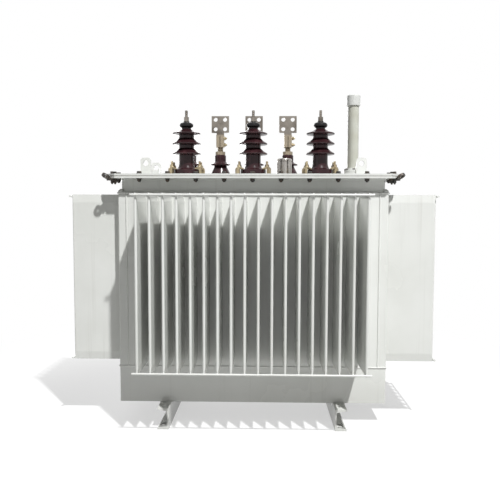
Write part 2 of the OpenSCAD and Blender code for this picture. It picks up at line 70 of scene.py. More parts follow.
# Edges that turn more than this stay sharp
FITTING_CREASE = math.radians(35)
BAND_CREASE = math.radians(30)

# Heights over which one finish gives way to another
HEAD_EDGE = 0.001
WORN_FADE = 0.02

# Chamfers as shares of a height or diameter, with what they leave of the top's width
HEX_CHAMFER, HEX_TOP = 0.14, 0.88
WASHER_CHAMFER, WASHER_TOP = 0.2, 0.96
THREAD_CHAMFER, THREAD_TOP = 0.12, 0.78

# Radius of a thread's crest, as a share of its pitch
CREST_SHARE = 0.36

# Points on each ripple of a weld, and its roughness beside the ripples
RIPPLE_STEPS = 3.0
ROUGH_SCALE, ROUGH_SHARE, ROUGH_MIDDLE = 110.0, 4.0, 1.5

# Fasteners in metres
EYE_BOLT = {"Flats": 0.011, "Hex_Height": 0.0065, "Washer_Diameter": 0.0125, "Thread_Diameter": 0.007}
CLAMP_NUT = {"Flats": 0.014, "Hex_Height": 0.0065, "Washer_Diameter": 0.0175, "Thread_Diameter": 0.008}
CLAMP_NUT_TOP = 0.009
CLAMP_THREAD = {"Diameter": 0.008, "Pitch": 0.00125}
PALM_NUT = {"Flats": 0.013, "Hex_Height": 0.0065, "Washer_Diameter": 0.016, "Thread_Diameter": 0.008}
PALM_WASHER = 0.0016
PALM_NUT_REACH = 0.0126
GAUGE_BOLT = {"Flats": 0.009, "Hex_Height": 0.004, "Washer_Diameter": 0.010, "Thread_Diameter": 0.005}
GAUGE_WASHER = 0.001
GAUGE_HEAD_REACH = 0.004
GAUGE_NUT_REACH = 0.008
HV_THREAD = {"Diameter": 0.010, "Pitch": 0.0015}
HV_THREAD_END = 0.001
LV_THREAD = {"Diameter": 0.022, "Pitch": 0.0025}
LV_THREAD_END = 0.0015

# Each lamp's name, place, width and power, in metres and watts
LAMPS = (
    ("key_lamp", (2.35, -4.55, 7.95), 0.25, 1055.0),
    ("fill_lamp", (-3.2, -2.6, 2.0), 2.5, 3.0),
    ("back_lamp", (-1.0, 3.5, 1.4), 2.0, 55.0),
)
LAMP_TARGET = Vector((0, 0, 0.6))
SURROUND_LIGHT = 0.10

# Floor in metres, white beyond its far radius
FLOOR_RADIUS = 9.0
FLOOR_SIDES = 64
FLOOR_NEAR, FLOOR_FAR = 0.75, 1.9
FLOOR_NEAR_WHITE = 0.55
FLOOR_ROUGHNESS = 0.7

# Camera in metres and radians, its sensor and lens in millimetres
CAMERA_PLACE = (0.0436, -2.3942, 0.8087)
CAMERA_HEADING, CAMERA_DIP, CAMERA_ROLL = -0.0243, 0.066, 0.0022
CAMERA_SENSOR, CAMERA_LENS = 36.0, 41.84


def shared(make, *given):
    """What a function makes, made once."""
    if make not in SHARED:
        SHARED[make] = make(*given)
    return SHARED[make]


def length(label, text, metres):
    """A size in metres that a user may change."""
    return FloatProperty(name=label, description=text, default=metres, min=0.0, precision=4, unit="LENGTH")


def count(label, text, number):
    """A number of like fittings that a user may change."""
    return IntProperty(name=label, description=text, default=number, min=1)


def colour(label, text, red, green, blue):
    """A linear colour that a user may change."""
    return FloatVectorProperty(
        name=label, description=text, default=(red, green, blue), min=0.0, max=1.0, size=3, subtype="COLOR"
    )


class TransformerSizes(bpy.types.PropertyGroup):
    """Sizes of the fittings that are added to the solids."""

    bolt_flats: length("Cover bolt flats", "Width across the flats of the cover bolts", 0.015)
    bolt_head: length("Cover bolt head", "Height of the cover bolts' heads", 0.0072)
    bolt_washer: length("Cover bolt washer", "Diameter of the cover bolts' washers", 0.021)
    bolt_thread: length("Cover bolt thread", "Diameter of the cover bolts' threads", 0.010)
    bolt_end: length("Cover bolt end", "Reach of the bolt ends under the flange", 0.0125)
    bolt_inset: length("Cover bolt inset", "Distance of the bolts from the cover's edge", 0.021)
    bolt_inset_end: length("End bolt inset", "Distance of the end rows' bolts from the cover's ends", 0.033)
    bolt_pitch_long: length("Bolt pitch along", "Spacing of the bolts along the front and back", 0.1054)
    bolt_pitch_end: length("Bolt pitch at the ends", "Spacing of the bolts at the two ends", 0.1054)
    bolts_long: count("Bolts along", "Bolts in the front and back rows", 9)
    bolts_end: count("Bolts at an end", "Bolts in each end row", 4)
    eye_bolt_out: length("Outer eye bolt", "Distance of an eye's outer bolt from the cut corner", 0.009)
    eye_bolt_in: length("Inner eye bolt", "Distance of an eye's inner bolt from the cut corner", 0.022)
    eye_strap: length("Eye strap", "Thickness of a lashing eye's strap", 0.008)
    corner_x: length("Corner cut along", "Length of the cover's cut corners along the front", 0.040)
    corner_y: length("Corner cut across", "Length of the cover's cut corners along the ends", 0.035)
    claw_radius: length("Claw stud radius", "Distance of a claw's stud from the bushing's axis", 0.059)
    claw_seat: length("Claw seat", "Height of the claws' nut seats above the cover", 0.0325)
    claw_reach: length("Claw stud reach", "Height of the stud ends above their seats", 0.0205)
    claw_angle: FloatProperty(
        name="Claw angle",
        description="Turn of the claws from the bushing row",
        default=math.radians(25),
        unit="ROTATION",
    )
    bead_width: length("Weld bead width", "Width of the seam welds", 0.006)
    bead_pitch: length("Weld ripple pitch", "Spacing of the ripples along a weld", 0.0045)
    bead_ripple: length("Weld ripple height", "Height of the ripples of a weld", 0.0005)
    rod_past: length("Rod past the fins", "Length of a tie rod past the middle of its last fin", 0.017)
    rod_weld: length("Rod weld width", "Width of the weld spots of the tie rods", 0.0055)
    rod_weld_side: length("Rod weld side", "Distance of the weld spots above and below a rod's axis", 0.0036)
    rod_radius: length("Rod radius", "Radius of the tie rods", 0.004)
    fin_pitch: length("Fin pitch", "Spacing of the cooling fins", 0.0473)
    corner_leg: length("Corner leg", "Width of the corner posts, to the seams beside them", 0.032)
    rim_inset: length("Rim inset", "Distance of the tank's upper band behind the walls", 0.012)
    rim_plate: length("Rim plate", "Thickness of the tank's upper band", 0.006)
    rim_ledge: length("Rim ledge", "Thickness of the ledge under the upper band", 0.003)
    rim_fall: length("Rim ledge fall", "Fall of the ledge towards its outer edge", 0.001)
    post_leg: length("Post end leg", "Width of the corner posts' ends above the ledge", 0.018)
    post_height: length("Post end height", "Height of the corner posts' ends above the walls", 0.0155)
    post_slope: length("Post end slope", "Lean of the corner posts' ends towards the band", 0.007)
    tank_edge: length("Tank edge", "Radius of the tank's upright edges", 0.005)
    core_gap: length("Core gap", "Clear space between the upper band and the core", 0.0005)
    lug_width: length("Lug width", "Width of a lifting lug", 0.040)
    lug_plate: length("Lug plate", "Thickness of a lifting lug", 0.008)
    lug_rib: length("Lug rib", "Depth of the rib behind a lifting lug", 0.036)
    palm_clamp: length("Palm clamp width", "Width of the clamp under a palm", 0.032)
    palm_worn: length("Worn palm foot", "Height of the bare brass on a palm's clamp", 0.042)
    palm_bolt_out: length("Palm bolt distance", "Distance of the clamp bolts from the stud's axis", 0.0178)
    palm_bolt_low: length("Lower palm bolt", "Height of the lower clamp bolt in the clamp", 0.010)
    palm_bolt_high: length("Upper palm bolt", "Height of the upper clamp bolt in the clamp", 0.037)
    hv_head: length("Front head height", "Height of the front bushings' heads", 0.026)
    hv_thread: length("Front stud thread", "Length of thread on the front bushings' studs", 0.025)
    lv_nut: length("Back nut height", "Height of the nuts of the back bushings", 0.014)
    gauge_bolt_radius: length("Gauge bolt circle", "Radius of the oil gauge's bolt circle", 0.0318)
    gauge_flange_top: length("Gauge flange top", "Top of the gauge's flanges above the cover", 0.030)
    gauge_flange_foot: length("Gauge flange foot", "Foot of the gauge's flanges above the cover", 0.014)
    gauge_bolts: count("Gauge bolts", "Bolts in the oil gauge's flanges", 6)


class TransformerColours(bpy.types.PropertyGroup):
    """Colours of the finishes."""

    paint: colour("Tank paint", "Pale grey tank paint", 0.74, 0.75, 0.725)
    paint_tint: colour("Paint tint", "Paint where it is slightly weathered", 0.68, 0.69, 0.66)
    grime: colour("Grime", "Dust that settles low on the tank", 0.40, 0.39, 0.35)
    porcelain: colour("Porcelain", "Dark red-brown glaze", 0.026, 0.0095, 0.0115)
    porcelain_head: colour("Bushing heads", "Black seal on the front bushings' heads", 0.007, 0.007, 0.0075)
    porcelain_thin: colour("Thin glaze", "Glaze where it is thin", 0.056, 0.022, 0.025)
    zinc: colour("Passivated zinc", "Yellow of the clamps", 0.48, 0.405, 0.26)
    zinc_tint: colour("Zinc tint", "Olive and pink bloom on the zinc", 0.28, 0.22, 0.14)
    tin: colour("Tinned brass", "Dull metal of the terminals", 0.26, 0.235, 0.205)
    tin_dark: colour("Tarnish", "Tarnished metal of the terminals", 0.12, 0.105, 0.09)
    brass: colour("Brass", "Bare brass of the palms' clamps and nuts", 0.36, 0.305, 0.225)
    valve: colour("Valve metal", "Bright metal of the relief valve", 0.52, 0.50, 0.47)
    valve_dull: colour("Valve dulling", "Dulled metal of the relief valve", 0.30, 0.285, 0.265)
    gauge: colour("Gauge tube", "Cream tube of the oil gauge", 0.53, 0.54, 0.48)
    gauge_aged: colour("Aged gauge tube", "Yellowed parts of the gauge tube", 0.47, 0.47, 0.40)
    cap: colour("Gauge cap", "White cap of the oil gauge", 0.64, 0.65, 0.63)
    cap_tint: colour("Gauge cap tint", "Weathered parts of the gauge cap", 0.60, 0.61, 0.585)
    steel: colour("Dark steel", "Blackened bolts and eyes", 0.055, 0.054, 0.052)
    rust: colour("Rust", "First rust on the bolts", 0.105, 0.080, 0.062)
    rubber: colour("Gasket", "Rubber-bonded cork under paint", 0.64, 0.63, 0.60)
    rubber_fleck: colour("Gasket fleck", "Cork flecks in the gasket", 0.55, 0.53, 0.49)
    core: colour("Core", "Varnished core steel in the oil", 0.16, 0.13, 0.10)
    floor: colour("Floor", "Pale studio floor as it is seen", 0.95, 0.95, 0.95)
    floor_bounce: colour("Floor bounce", "Pale studio floor as it throws light back", 0.46, 0.46, 0.45)


class Wiring:
    """Adds nodes to one tree and joins their sockets."""

    def __init__(self, tree):
        self.tree = tree

    def add(self, kind, values=None, **settings):
        """A new node; a value may be a number, a colour or another node's socket."""
        made = self.tree.nodes.new(kind)
        for key, value in settings.items():
            setattr(made, key, value)
        for key, value in (values or {}).items():
            if isinstance(value, bpy.types.NodeSocket):
                self.tree.links.new(value, made.inputs[key])
            else:
                made.inputs[key].default_value = value
        return made

    def math(self, operation, first, second=0.0):
        """The result of one sum."""
        return self.add("ShaderNodeMath", {0: first, 1: second}, operation=operation).outputs[0]

    def mix(self, factor, first, second):
        """The colour between two colours."""
        values = {0: factor, 6: first, 7: second}
        return self.add("ShaderNodeMix", values, data_type="RGBA").outputs[2]

    def spread(self, value, low, high):
        """A mask of 0 to 1 made a range of values."""
        return self.add("ShaderNodeMapRange", {"Value": value, "To Min": low, "To Max": high}).outputs[0]

    def join(self, *parts):
        """Several meshes as one."""
        made = self.tree.nodes.new("GeometryNodeJoinGeometry")
        for part in parts:
            self.tree.links.new(part, made.inputs[0])
        return made.outputs[0]


def shared_tree(name, kind, inputs, outputs):
    """A node group with named sockets, with its wiring, its input node and its output node."""
    tree = bpy.data.node_groups.new(name, kind)
    for label, sort, default in inputs:
        made = tree.interface.new_socket(label, in_out="INPUT", socket_type="NodeSocket" + sort)
        if default is not None:
            made.default_value = default
    for label, sort in outputs:
        tree.interface.new_socket(label, in_out="OUTPUT", socket_type="NodeSocket" + sort)
    wiring = Wiring(tree)
    return wiring, wiring.add("NodeGroupInput").outputs, wiring.add("NodeGroupOutput").inputs


def pattern_tree(name, output, **defaults):
    """A shader group that reads a place and named values, and puts out one value."""
    inputs = [("Vector", "Vector", None)]
    for label, value in defaults.items():
        inputs.append((label, "Vector" if isinstance(value, tuple) else "Float", value))
    return shared_tree(name, "ShaderNodeTree", inputs, [(output, "Float")])


def mottle_group():
    """Soft patches; stretched, they are streaks or brush marks."""
    wiring, given, result = pattern_tree(
        "mottle", "Mask", Stretch=(1.0, 1.0, 1.0), Scale=10.0, Low=0.4, High=0.7, Amount=1.0
    )
    pair = {0: given["Vector"], 1: given["Stretch"]}
    stretched = wiring.add("ShaderNodeVectorMath", pair, operation="MULTIPLY")
    noise = wiring.add(
        "ShaderNodeTexNoise", {"Vector": stretched.outputs[0], "Scale": given["Scale"], "Detail": 4.0}
    )
    ranged = wiring.add(
        "ShaderNodeMapRange",
        {"Value": noise.outputs[0], "From Min": given["Low"], "From Max": given["High"]},
        interpolation_type="SMOOTHSTEP",
    )
    wiring.tree.links.new(wiring.math("MULTIPLY", ranged.outputs[0], given["Amount"]), result["Mask"])
    return wiring.tree


def grain_group():
    """Height of a surface's fine grain over a slower waviness."""
    wiring, given, result = pattern_tree("grain", "Height", Fine=600.0, Wavy=30.0, Share=0.5)
    where = given["Vector"]
    fine = wiring.add("ShaderNodeTexNoise", {"Vector": where, "Scale": given["Fine"], "Detail": 2.0})
    wavy = wiring.add("ShaderNodeTexNoise", {"Vector": where, "Scale": given["Wavy"], "Detail": 1.0})
    part = wiring.math("MULTIPLY", wavy.outputs[0], given["Share"])
    wiring.tree.links.new(wiring.math("ADD", fine.outputs[0], part), result["Height"])
    return wiring.tree


def band_group():
    """A mask that fades from one height above the ground to another."""
    wiring, given, result = pattern_tree("height_band", "Mask", Full=0.0, Clear=0.2, Amount=1.0)
    height = wiring.add("ShaderNodeSeparateXYZ", {0: given["Vector"]}).outputs[2]
    ends = {"From Min": given["Full"], "From Max": given["Clear"], "To Min": 1.0, "To Max": 0.0}
    faded = wiring.add("ShaderNodeMapRange", {"Value": height, **ends}, interpolation_type="SMOOTHSTEP")
    wiring.tree.links.new(wiring.math("MULTIPLY", faded.outputs[0], given["Amount"]), result["Mask"])
    return wiring.tree


class Finish(Wiring):
    """A material around one Principled BSDF, patterned in Object coordinates."""

    def __init__(self, name, **constants):
        self.material = bpy.data.materials.new(name)
        self.material.use_nodes = True
        super().__init__(self.material.node_tree)
        self.shader = self.tree.nodes["Principled BSDF"]
        self.where = self.add("ShaderNodeTexCoord").outputs["Object"]
        for label, value in constants.items():
            self.shader.inputs[label.replace("_", " ")].default_value = value

    def group(self, make, **values):
        """A shared group, placed with its own values."""
        placed = self.add("ShaderNodeGroup", node_tree=shared(make))
        self.tree.links.new(self.where, placed.inputs["Vector"])
        for label, value in values.items():
            placed.inputs[label].default_value = value
        return placed.outputs[0]

    def feed(self, label, socket):
        """Joins a socket to one of the shader's own."""
        self.tree.links.new(socket, self.shader.inputs[label])

    def bump(self, strength, depth, **grain):
        """The surface's relief."""
        height = self.group(grain_group, **grain)
        values = {"Height": height, "Strength": strength, "Distance": depth}
        self.feed("Normal", self.add("ShaderNodeBump", values).outputs[0])


def opaque(value):
    """A user's colour with full cover."""
    return (*value, 1.0)


def tank_paint(hues):
    """Satin paint with faint runs, patches and dust near the ground."""
    made = Finish("tank_paint_finish", Coat_Weight=0.12, Coat_Roughness=0.1)
    patches = made.group(mottle_group, Scale=3.2, Low=0.42, High=0.72)
    runs = made.group(mottle_group, Scale=1.0, Stretch=(55.0, 55.0, 1.6), Low=0.55, High=0.80, Amount=0.18)
    dust = made.group(band_group, Full=0.0, Clear=0.24, Amount=0.22)
    tinted = made.mix(patches, opaque(hues.paint), opaque(hues.paint_tint))
    streaked = made.mix(runs, tinted, opaque(hues.grime))
    made.feed("Base Color", made.mix(dust, streaked, opaque(hues.grime)))
    made.feed("Roughness", made.spread(patches, 0.20, 0.30))
    made.bump(0.06, 0.0005, Fine=520.0, Wavy=45.0, Share=0.8)
    return made.material


def glazed_porcelain(hues):
    """Thick red-brown glaze, thinner and lighter in patches."""
    made = Finish("porcelain_finish", Specular_IOR_Level=0.28)
    thin = made.group(mottle_group, Scale=26.0, Low=0.45, High=0.75)
    head_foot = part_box("hv_insulator_left")[1].z - bpy.context.scene.transformer_sizes.hv_head
    head = made.group(band_group, Full=head_foot + HEAD_EDGE, Clear=head_foot - HEAD_EDGE)
    glaze = made.mix(thin, opaque(hues.porcelain), opaque(hues.porcelain_thin))
    made.feed("Base Color", made.mix(head, glaze, opaque(hues.porcelain_head)))
    made.feed("Roughness", made.spread(thin, 0.20, 0.32))
    made.bump(0.12, 0.0008, Fine=260.0, Wavy=38.0, Share=1.6)
    return made.material


def metal_finish(name, main, second, rough, stretch=(1.0, 1.0, 1.0), scale=45.0, metal=1.0, grain=700.0):
    """Metal of two tones with a grain, brushed where it is stretched."""
    made = Finish(name + "_finish", Metallic=metal)
    patches = made.group(mottle_group, Scale=scale, Stretch=stretch, Low=0.38, High=0.68)
    made.feed("Base Color", made.mix(patches, opaque(main), opaque(second)))
    made.feed("Roughness", made.spread(patches, *rough))
    made.bump(0.16, 0.0005, Fine=grain, Wavy=90.0, Share=0.9)
    return made.material


def moulded_finish(name, main, second, rough, scale=12.0, grain=900.0):
    """Plastic, rubber or varnish of two close tones."""
    made = Finish(name + "_finish")
    patches = made.group(mottle_group, Scale=scale, Low=0.40, High=0.72)
    made.feed("Base Color", made.mix(patches, opaque(main), opaque(second)))
    made.feed("Roughness", made.spread(patches, *rough))
    made.bump(0.08, 0.0004, Fine=grain, Wavy=60.0, Share=0.5)
    return made.material


def terminal_metal(hues):
    """Tinned brass, tarnished in patches, worn to bare brass on the clamps."""
    made = Finish("terminal_tin_finish", Metallic=0.9)
    patches = made.group(mottle_group, Scale=16.0, Low=0.38, High=0.68)
    clamp_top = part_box("lv_palm_left")[0].z + bpy.context.scene.transformer_sizes.palm_worn
    worn = made.group(band_group, Full=clamp_top, Clear=clamp_top + WORN_FADE, Amount=0.85)
    tinned = made.mix(patches, opaque(hues.tin), opaque(hues.tin_dark))
    made.feed("Base Color", made.mix(worn, tinned, opaque(hues.brass)))
    made.feed("Roughness", made.spread(patches, 0.36, 0.60))
    made.bump(0.16, 0.0005, Fine=700.0, Wavy=90.0, Share=0.9)
    return made.material


FINISHES = {
    "tank_paint": tank_paint,
    "porcelain": glazed_porcelain,
    "clamp_zinc": lambda hues: metal_finish(
        "clamp_zinc", hues.zinc, hues.zinc_tint, (0.30, 0.48), scale=60.0
    ),
    "terminal_tin": terminal_metal,
    "valve_metal": lambda hues: metal_finish(
        "valve_metal", hues.valve, hues.valve_dull, (0.22, 0.42), (1.0, 1.0, 0.2)
    ),
    "dark_steel": lambda hues: metal_finish(
        "dark_steel", hues.steel, hues.rust, (0.42, 0.66), scale=80.0, metal=0.6
    ),
    "gauge_tube": lambda hues: moulded_finish("gauge_tube", hues.gauge, hues.gauge_aged, (0.26, 0.40)),
    "gauge_cap": lambda hues: moulded_finish("gauge_cap", hues.cap, hues.cap_tint, (0.32, 0.48)),
    "gasket_rubber": lambda hues: moulded_finish(
        "gasket_rubber", hues.rubber, hues.rubber_fleck, (0.7, 0.9), 300.0
    ),
    "core": lambda hues: moulded_finish("core", hues.core, hues.steel, (0.4, 0.6), 30.0),
}


def finish_of(slot):
    """The finish of a material slot, made when it is first asked for."""
    return shared(FINISHES[slot], bpy.context.scene.transformer_colours)


def piece(name, mesh, slot):
    """A finished mesh as a piece that rides on the tank."""
    made = bpy.data.objects.new(name, mesh)
    bpy.context.scene.collection.objects.link(made)
    if not mesh.materials:
        mesh.materials.append(finish_of(slot))
    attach(made, "root")
    return made


def spots(name, places):
    """Points for fittings, each with the way that it faces."""
    mesh = bpy.data.meshes.new(name)
    mesh.from_pydata([tuple(point) for point, way in places], [], [])
    aim = mesh.attributes.new("aim", "FLOAT_VECTOR", "POINT")
    for stored, (point, way) in zip(aim.data, places):
        stored.vector = way
    return mesh


def paths(name, lines):
    """Edges along lists of points, for welds."""
    points, edges = [], []
    for line in lines:
        start = len(points)
        points += [tuple(point) for point in line]
        edges += [(i, i + 1) for i in range(start, len(points) - 1)]
    mesh = bpy.data.meshes.new(name)
    mesh.from_pydata(points, edges, [])
    return mesh


def grow(name, tree, seeds, slot, **values):
    """Runs a tree on seed points or paths and keeps the result as a plain piece."""
    seed = bpy.data.objects.new(name + "_seeds", seeds)
    bpy.context.scene.collection.objects.link(seed)
    modifier = seed.modifiers.new("grow", "NODES")
    modifier.node_group = tree
    values["Finish"] = finish_of(slot)
    for item in tree.interface.items_tree:
        if item.in_out == "INPUT" and item.name.replace(" ", "_") in values:
            modifier[item.identifier] = values[item.name.replace(" ", "_")]
    graph = bpy.context.evaluated_depsgraph_get()
    mesh = bpy.data.meshes.new_from_object(seed.evaluated_get(graph), depsgraph=graph)
    bpy.data.objects.remove(seed)
    if not mesh.polygons:
        raise RuntimeError(name + " grew no faces")
    mesh.name = name
    mesh.shade_smooth()
    mesh.set_sharp_from_angle(angle=FITTING_CREASE)
    return piece(name, mesh, slot)


def sized_tree(name, **sizes):
    """A geometry tree with named sizes and a finish."""
    inputs = [("Geometry", "Geometry", None)]
    inputs += [(label.replace("_", " "), "Float", value) for label, value in sizes.items()]
    inputs += [("Finish", "Material", None)]
    return shared_tree(name, "GeometryNodeTree", inputs, [("Geometry", "Geometry")])


def set_on_points(wiring, given, result, shape):
    """Sets a shape on each point along its aim, with a fixed random turn, as one finished mesh."""
    aim = wiring.add("GeometryNodeInputNamedAttribute", {"Name": "aim"}, data_type="FLOAT_VECTOR").outputs[0]
    along = wiring.add("FunctionNodeAlignRotationToVector", {"Vector": aim}, axis="Z").outputs[0]
    draw = {2: 0.0, 3: math.pi, "Seed": 7}
    chance = wiring.add("FunctionNodeRandomValue", draw, data_type="FLOAT").outputs[1]
    turn = wiring.add("FunctionNodeAxisAngleToRotation", {"Axis": UP, "Angle": chance}).outputs[0]
    both = wiring.add("FunctionNodeRotateRotation", {0: along, 1: turn}, rotation_space="LOCAL").outputs[0]
    placed = wiring.add(
        "GeometryNodeInstanceOnPoints", {"Points": given["Geometry"], "Instance": shape, "Rotation": both}
    )
    real = wiring.add("GeometryNodeRealizeInstances", {0: placed.outputs[0]}).outputs[0]
    done = wiring.add("GeometryNodeSetMaterial", {"Geometry": real, "Material": given["Finish"]}).outputs[0]
    wiring.tree.links.new(done, result["Geometry"])
    return wiring.tree


def turned(wiring, sides, radius, depth, foot, chamfer, narrowing):
    """A prism or round standing on foot, its top edge chamfered."""
    solid = wiring.add(
        "GeometryNodeMeshCylinder", {"Vertices": sides, "Radius": radius, "Depth": depth}, fill_type="NGON"
    )
    drawn = wiring.add(
        "GeometryNodeExtrudeMesh",
        {"Mesh": solid.outputs["Mesh"], "Selection": solid.outputs["Top"], "Offset Scale": chamfer},
        mode="FACES",
    )
    eased = wiring.add(
        "GeometryNodeScaleElements",
        {"Geometry": drawn.outputs["Mesh"], "Selection": drawn.outputs["Top"], "Scale": narrowing},
        domain="FACE",
    )
    lift = wiring.math("ADD", wiring.math("MULTIPLY", depth, 0.5), foot)
    place = wiring.add("ShaderNodeCombineXYZ", {"Z": lift}).outputs[0]
    stood = wiring.add("GeometryNodeTransform", {"Geometry": eased.outputs[0], "Translation": place})
    return stood.outputs[0]


def bolt_tree():
    """A hexagon on its washer, with a thread end through it."""
    wiring, given, result = sized_tree(
        "hexagon_fastener",
        Flats=0.019,
        Hex_Height=0.009,
        Washer_Diameter=0.026,
        Washer_Height=0.0025,
        Thread_Diameter=0.012,
        Thread_Reach=0.006,
    )
    corner = wiring.math("MULTIPLY", given["Flats"], 1 / math.sqrt(3))
    hexagon = turned(
        wiring, 6, corner,
        wiring.math("MULTIPLY", given["Hex Height"], 1 - HEX_CHAMFER), given["Washer Height"],
        wiring.math("MULTIPLY", given["Hex Height"], HEX_CHAMFER), HEX_TOP,
    )
    washer = turned(
        wiring, 24, wiring.math("MULTIPLY", given["Washer Diameter"], 0.5),
        wiring.math("MULTIPLY", given["Washer Height"], 1 - WASHER_CHAMFER), 0.0,
        wiring.math("MULTIPLY", given["Washer Height"], WASHER_CHAMFER), WASHER_TOP,
    )
    thread = turned(
        wiring, 16, wiring.math("MULTIPLY", given["Thread Diameter"], 0.5), given["Thread Reach"], 0.0,
        wiring.math("MULTIPLY", given["Thread Diameter"], THREAD_CHAMFER), THREAD_TOP,
    )
    return set_on_points(wiring, given, result, wiring.join(hexagon, washer, thread))


def thread_tree():
    """The raised turns of a screw thread."""
    wiring, given, result = sized_tree("screw_thread", Diameter=0.012, Pitch=0.00175, Length=0.02)
    radius = wiring.math("MULTIPLY", given["Diameter"], 0.5)
    turns = wiring.math("DIVIDE", given["Length"], given["Pitch"])
    helix = wiring.add(
        "GeometryNodeCurveSpiral",
        {
            "Resolution": 14,
            "Rotations": turns,
            "Start Radius": radius,
            "End Radius": radius,
            "Height": given["Length"],
        },
    )
    crest = wiring.math("MULTIPLY", given["Pitch"], CREST_SHARE)
    ridge = wiring.add("GeometryNodeCurvePrimitiveCircle", {"Resolution": 4, "Radius": crest})
    wound = wiring.add(
        "GeometryNodeCurveToMesh",
        {"Curve": helix.outputs[0], "Profile Curve": ridge.outputs[0], "Fill Caps": True},
    )
    return set_on_points(wiring, given, result, wound.outputs[0])


def tack_tree():
    """A small flattened weld spot."""
    wiring, given, result = sized_tree("weld_spot", Width=0.008)
    radius = wiring.math("MULTIPLY", given["Width"], 0.5)
    ball = wiring.add("GeometryNodeMeshUVSphere", {"Segments": 10, "Rings": 6, "Radius": radius}).outputs[0]
    flat = wiring.add("GeometryNodeTransform", {"Geometry": ball, "Scale": (1.0, 0.8, 0.6)}).outputs[0]
    return set_on_points(wiring, given, result, flat)


def bead_tree():
    """A rippled weld bead along a path."""
    wiring, given, result = sized_tree("weld_bead", Width=0.006, Pitch=0.0045, Ripple=0.0005)
    line = wiring.add("GeometryNodeMeshToCurve", {"Mesh": given["Geometry"]}).outputs[0]
    step = wiring.math("DIVIDE", given["Pitch"], RIPPLE_STEPS)
    stepped = wiring.add("GeometryNodeResampleCurve", {"Curve": line, "Length": step}, mode="LENGTH")
    radius = wiring.math("MULTIPLY", given["Width"], 0.5)
    ring = wiring.add("GeometryNodeCurvePrimitiveCircle", {"Resolution": 6, "Radius": radius})
    tube = wiring.add(
        "GeometryNodeCurveToMesh",
        {"Curve": stepped.outputs[0], "Profile Curve": ring.outputs[0], "Fill Caps": True},
    ).outputs[0]
    here = wiring.add("GeometryNodeInputPosition").outputs[0]
    run = wiring.add("ShaderNodeVectorMath", {0: here, 1: (1.0, 1.0, 1.0)}, operation="DOT_PRODUCT")
    phase = wiring.math("DIVIDE", wiring.math("MULTIPLY", run.outputs["Value"], 2 * math.pi), given["Pitch"])
    rough = wiring.add("ShaderNodeTexNoise", {"Vector": here, "Scale": ROUGH_SCALE, "Detail": 1.0}).outputs[0]
    swell = wiring.math("ADD", wiring.math("SINE", phase), wiring.math("MULTIPLY", rough, ROUGH_SHARE))
    normal = wiring.add("GeometryNodeInputNormal").outputs[0]
    height = wiring.math("MULTIPLY", wiring.math("SUBTRACT", swell, ROUGH_MIDDLE), given["Ripple"])
    push = wiring.add("ShaderNodeVectorMath", {0: normal, "Scale": height}, operation="SCALE").outputs[0]
    moved = wiring.add("GeometryNodeSetPosition", {"Geometry": tube, "Offset": push}).outputs[0]
    real = wiring.add("GeometryNodeRealizeInstances", {0: moved}).outputs[0]
    done = wiring.add("GeometryNodeSetMaterial", {"Geometry": real, "Material": given["Finish"]}).outputs[0]
    wiring.tree.links.new(done, result["Geometry"])
    return wiring.tree


def set_bolts(name, places, slot, **sizes):
    """Hexagons, washers and thread ends on points."""
    return grow(name, shared(bolt_tree), spots(name + "_places", places), slot, **sizes)


def wind_threads(name, places, slot, **sizes):
    """Screw threads that start at points."""
    return grow(name, shared(thread_tree), spots(name + "_places", places), slot, **sizes)


def lay_welds(name, lines, size):
    """Weld beads along lists of points."""
    ripples = {"Width": size.bead_width, "Pitch": size.bead_pitch, "Ripple": size.bead_ripple}
    return grow(name, shared(bead_tree), paths(name + "_paths", lines), "tank_paint", **ripples)


def axis_of(node, height=COVER_TOP):
    """The point at a height on the upright axis of a turned node."""
    low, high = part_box(node)
    return Vector(((low.x + high.x) / 2, (low.y + high.y) / 2, height))


def loop(half_x, half_y, z, centre=(0.0, 0.0)):
    """A closed rectangle as a path."""
    x, y = centre
    corners = [(-1, -1), (1, -1), (1, 1), (-1, 1), (-1, -1)]
    return [(x + i * half_x, y + j * half_y, z) for i, j in corners]


def corner_round(x, y, radius, steps=5):
    """Points round one outer corner of a plan; x and y carry the corner's signs."""
    i, j = math.copysign(1, x), math.copysign(1, y)
    turns = [k * math.pi / 2 / steps for k in range(steps + 1)]
    return [
        (x + i * radius * (math.cos(turn) - 1), y + j * radius * (math.sin(turn) - 1)) for turn in turns
    ]


def plan(half_x, half_y, radius):
    """A rectangle with rounded corners, counter-clockwise."""
    points = []
    for i, j in ((1, 1), (-1, 1), (-1, -1), (1, -1)):
        arc = corner_round(i * half_x, j * half_y, radius)
        points += arc if i == j else arc[::-1]
    return points


def skin(built, levels, closed):
    """Faces between outlines of equal length; a list that isn't closed gets two end faces."""
    rings = [[built.verts.new((x, y, z)) for x, y in outline] for outline, z in levels]
    pairs = list(zip(rings, rings[1:]))
    if closed:
        pairs.append((rings[-1], rings[0]))
    else:
        built.faces.new(rings[0])
        built.faces.new(rings[-1])
    for low, high in pairs:
        for k in range(len(low)):
            built.faces.new((low[k - 1], low[k], high[k], high[k - 1]))


def solid_mesh(name, built):
    """A closed mesh with smooth rounds and sharp edges."""
    bmesh.ops.recalc_face_normals(built, faces=built.faces)
    mesh = bpy.data.meshes.new(name)
    built.to_mesh(mesh)
    built.free()
    mesh.shade_smooth()
    mesh.set_sharp_from_angle(angle=BAND_CREASE)
    return mesh


class DressSolids(bpy.types.Operator):
    """Gives each solid of the tank the finish of its material slot."""

    bl_idname = "transformer.solids"
    bl_label = "Finish the solids"

    def execute(self, context):
        slots = {row["node"]: row["material_slot"] for row in frame["record"]["subparts"]}
        for name, solid in frame["nodes"].items():
            finish = finish_of(slots[name])
            if not solid.material_slots:
                solid.data.materials.append(finish)
            for held in solid.material_slots:
                held.material = finish
        return {"FINISHED"}


